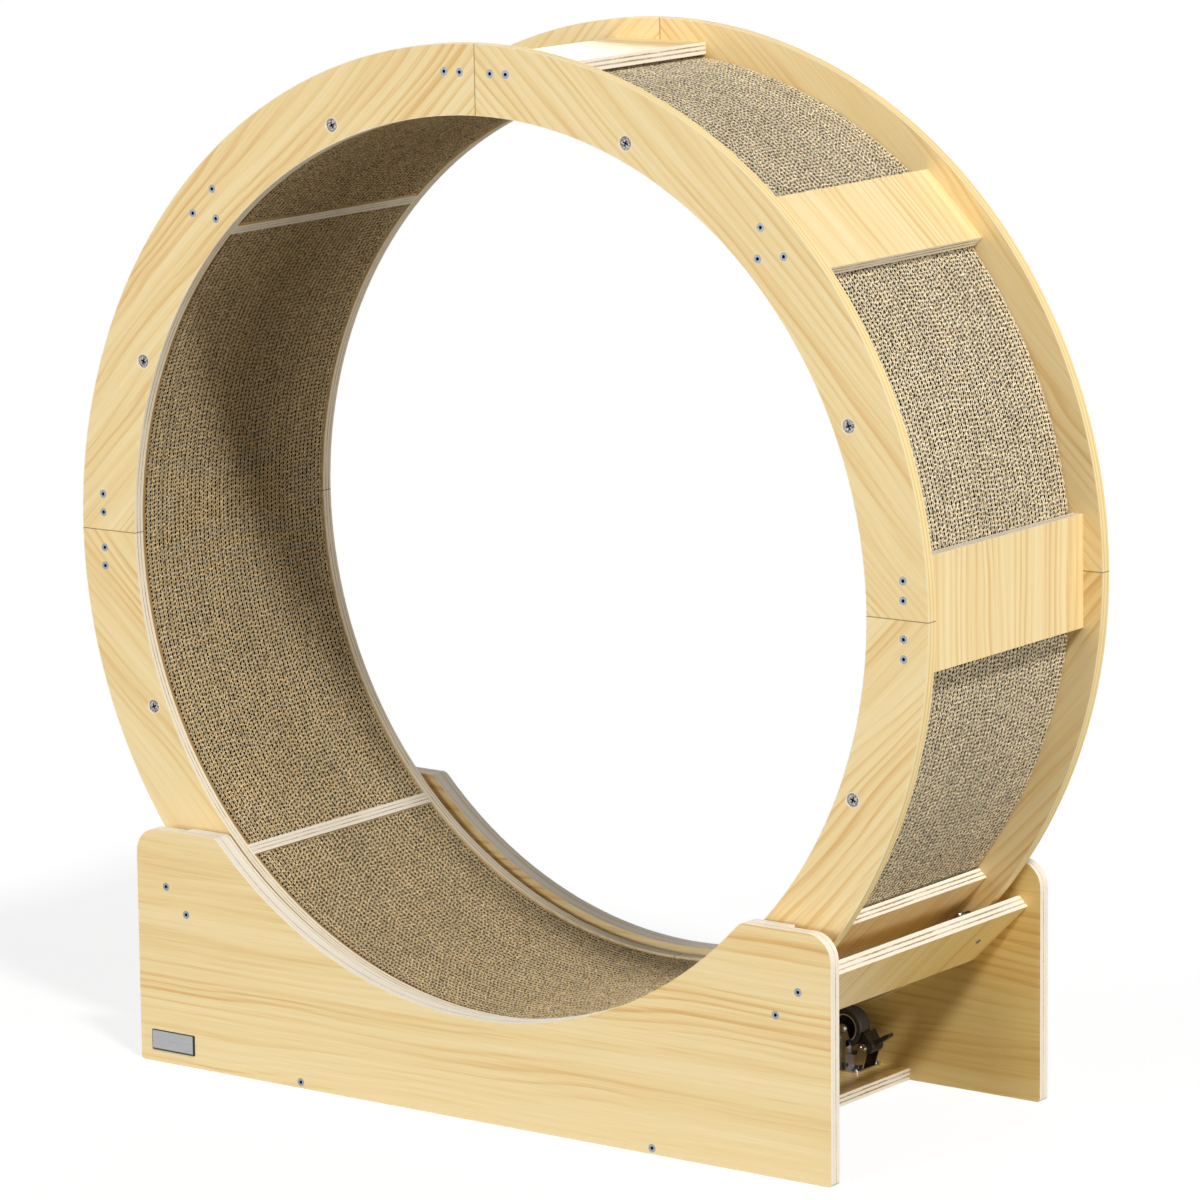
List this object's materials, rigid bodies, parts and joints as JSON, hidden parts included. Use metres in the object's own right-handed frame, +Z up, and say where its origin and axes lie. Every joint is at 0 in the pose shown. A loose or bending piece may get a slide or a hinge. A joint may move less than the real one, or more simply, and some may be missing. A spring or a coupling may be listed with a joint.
{
  "type": "cat exercise wheel",
  "caption": "Plywood running wheel with a corrugated cardboard tread, turning on braked casters in a low base.",
  "frame": {"origin": "on the floor under the middle of the wheel", "axes": "+Z up, +Y along the wheel's axis towards the rear panel, +X to the right seen from the front"},
  "size_m": [1.1, 0.4092, 1.13],
  "materials": {
    "veneered_ply": "pale oiled veneer",
    "ply_edge": "sanded plywood edge",
    "cardboard": "corrugated kraft cardboard, cut edges",
    "screw_steel": "zinc plated",
    "plated_steel": "nickel plated",
    "plate_metal": "brushed, bare",
    "black_plastic": "moulded",
    "black_rubber": "smooth rubber"
  },
  "bodies": {
    "base": {"base_front_panel": "veneered_ply", "base_rear_panel": "veneered_ply", "panel_liner_front": "veneered_ply", "panel_liner_rear": "veneered_ply", "slanted_board_right": "veneered_ply", "slanted_board_left": "veneered_ply", "floor_board": "veneered_ply", "base_screws": "screw_steel", "name_plate": "plate_metal", "bracket_front_right": "plated_steel", "bracket_rear_right": "plated_steel", "bracket_front_left": "plated_steel", "bracket_rear_left": "plated_steel", "caster_axles": "plated_steel", "pedal_pins": "plated_steel", "bracket_screws": "plated_steel", "guide_screws": "screw_steel", "guide_spacers": "screw_steel"},
    "wheel": {"front_rim_top_right": "veneered_ply", "front_rim_top_left": "veneered_ply", "front_rim_bottom_left": "veneered_ply", "front_rim_bottom_right": "veneered_ply", "rear_rim_top_right": "veneered_ply", "rear_rim_top_left": "veneered_ply", "rear_rim_bottom_left": "veneered_ply", "rear_rim_bottom_right": "veneered_ply", "cross_board_right": "veneered_ply", "cross_board_top_right": "veneered_ply", "cross_board_top": "veneered_ply", "cross_board_top_left": "veneered_ply", "cross_board_left": "veneered_ply", "cross_board_bottom_left": "veneered_ply", "cross_board_bottom": "veneered_ply", "cross_board_bottom_right": "veneered_ply", "divider_top_right": "ply_edge", "divider_top_left": "ply_edge", "divider_bottom_left": "ply_edge", "divider_bottom_right": "ply_edge", "tread_right": "cardboard", "tread_top": "cardboard", "tread_left": "cardboard", "tread_bottom": "cardboard", "wheel_screws": "screw_steel", "tie_bolts": "plated_steel", "tie_nuts": "plated_steel"},
    "caster_wheel_front_right": {"hub_front_right": "black_plastic", "tyre_front_right": "black_rubber"},
    "caster_wheel_rear_right": {"hub_rear_right": "black_plastic", "tyre_rear_right": "black_rubber"},
    "caster_wheel_front_left": {"hub_front_left": "black_plastic", "tyre_front_left": "black_rubber"},
    "caster_wheel_rear_left": {"hub_rear_left": "black_plastic", "tyre_rear_left": "black_rubber"},
    "brake_front_right": {"pedal_front_right": "black_plastic"},
    "brake_rear_right": {"pedal_rear_right": "black_plastic"},
    "brake_front_left": {"pedal_front_left": "black_plastic"},
    "brake_rear_left": {"pedal_rear_left": "black_plastic"},
    "guide_front_right": {"roller_front_right": "black_plastic"},
    "guide_rear_right": {"roller_rear_right": "black_plastic"},
    "guide_front_left": {"roller_front_left": "black_plastic"},
    "guide_rear_left": {"roller_rear_left": "black_plastic"}
  },
  "joints": [
    {"name": "wheel_spin", "type": "hinge", "parent": "base", "child": "wheel", "pos_m": [0, 0, 0.58], "axis": [0, 1, 0], "continuous": true},
    {"name": "caster_roll_front_right", "type": "hinge", "parent": "base", "child": "caster_wheel_front_right", "pos_m": [0.23, -0.163, 0.0565], "axis": [0, 1, 0], "continuous": true},
    {"name": "caster_roll_rear_right", "type": "hinge", "parent": "base", "child": "caster_wheel_rear_right", "pos_m": [0.23, 0.163, 0.0565], "axis": [0, 1, 0], "continuous": true},
    {"name": "caster_roll_front_left", "type": "hinge", "parent": "base", "child": "caster_wheel_front_left", "pos_m": [-0.23, -0.163, 0.0565], "axis": [0, 1, 0], "continuous": true},
    {"name": "caster_roll_rear_left", "type": "hinge", "parent": "base", "child": "caster_wheel_rear_left", "pos_m": [-0.23, 0.163, 0.0565], "axis": [0, 1, 0], "continuous": true},
    {"name": "brake_tilt_front_right", "type": "hinge", "parent": "base", "child": "brake_front_right", "pos_m": [0.2565, -0.163, 0.0378], "axis": [0, -1, 0], "range_deg": [0, 7]},
    {"name": "brake_tilt_rear_right", "type": "hinge", "parent": "base", "child": "brake_rear_right", "pos_m": [0.2565, 0.163, 0.0378], "axis": [0, -1, 0], "range_deg": [0, 7]},
    {"name": "brake_tilt_front_left", "type": "hinge", "parent": "base", "child": "brake_front_left", "pos_m": [-0.2565, -0.163, 0.0378], "axis": [0, 1, 0], "range_deg": [0, 7]},
    {"name": "brake_tilt_rear_left", "type": "hinge", "parent": "base", "child": "brake_rear_left", "pos_m": [-0.2565, 0.163, 0.0378], "axis": [0, 1, 0], "range_deg": [0, 7]},
    {"name": "guide_roll_front_right", "type": "hinge", "parent": "base", "child": "guide_front_right", "pos_m": [0.3894, -0.1432, 0.19555], "axis": [0.7071, 0, -0.7071], "continuous": true},
    {"name": "guide_roll_rear_right", "type": "hinge", "parent": "base", "child": "guide_rear_right", "pos_m": [0.3894, 0.1432, 0.19555], "axis": [0.7071, 0, -0.7071], "continuous": true},
    {"name": "guide_roll_front_left", "type": "hinge", "parent": "base", "child": "guide_front_left", "pos_m": [-0.3894, -0.1432, 0.19555], "axis": [-0.7071, 0, -0.7071], "continuous": true},
    {"name": "guide_roll_rear_left", "type": "hinge", "parent": "base", "child": "guide_rear_left", "pos_m": [-0.3894, 0.1432, 0.19555], "axis": [-0.7071, 0, -0.7071], "continuous": true}
  ],
  "couplings": [
    {"joint": "caster_roll_front_right", "follows": "wheel_spin", "ratio": -25.581},
    {"joint": "caster_roll_rear_right", "follows": "wheel_spin", "ratio": -25.581},
    {"joint": "caster_roll_front_left", "follows": "wheel_spin", "ratio": -25.581},
    {"joint": "caster_roll_rear_left", "follows": "wheel_spin", "ratio": -25.581},
    {"joint": "guide_roll_front_right", "follows": "wheel_spin", "ratio": 41.912},
    {"joint": "guide_roll_rear_right", "follows": "wheel_spin", "ratio": -41.912},
    {"joint": "guide_roll_front_left", "follows": "wheel_spin", "ratio": 41.912},
    {"joint": "guide_roll_rear_left", "follows": "wheel_spin", "ratio": -41.912}
  ]
}
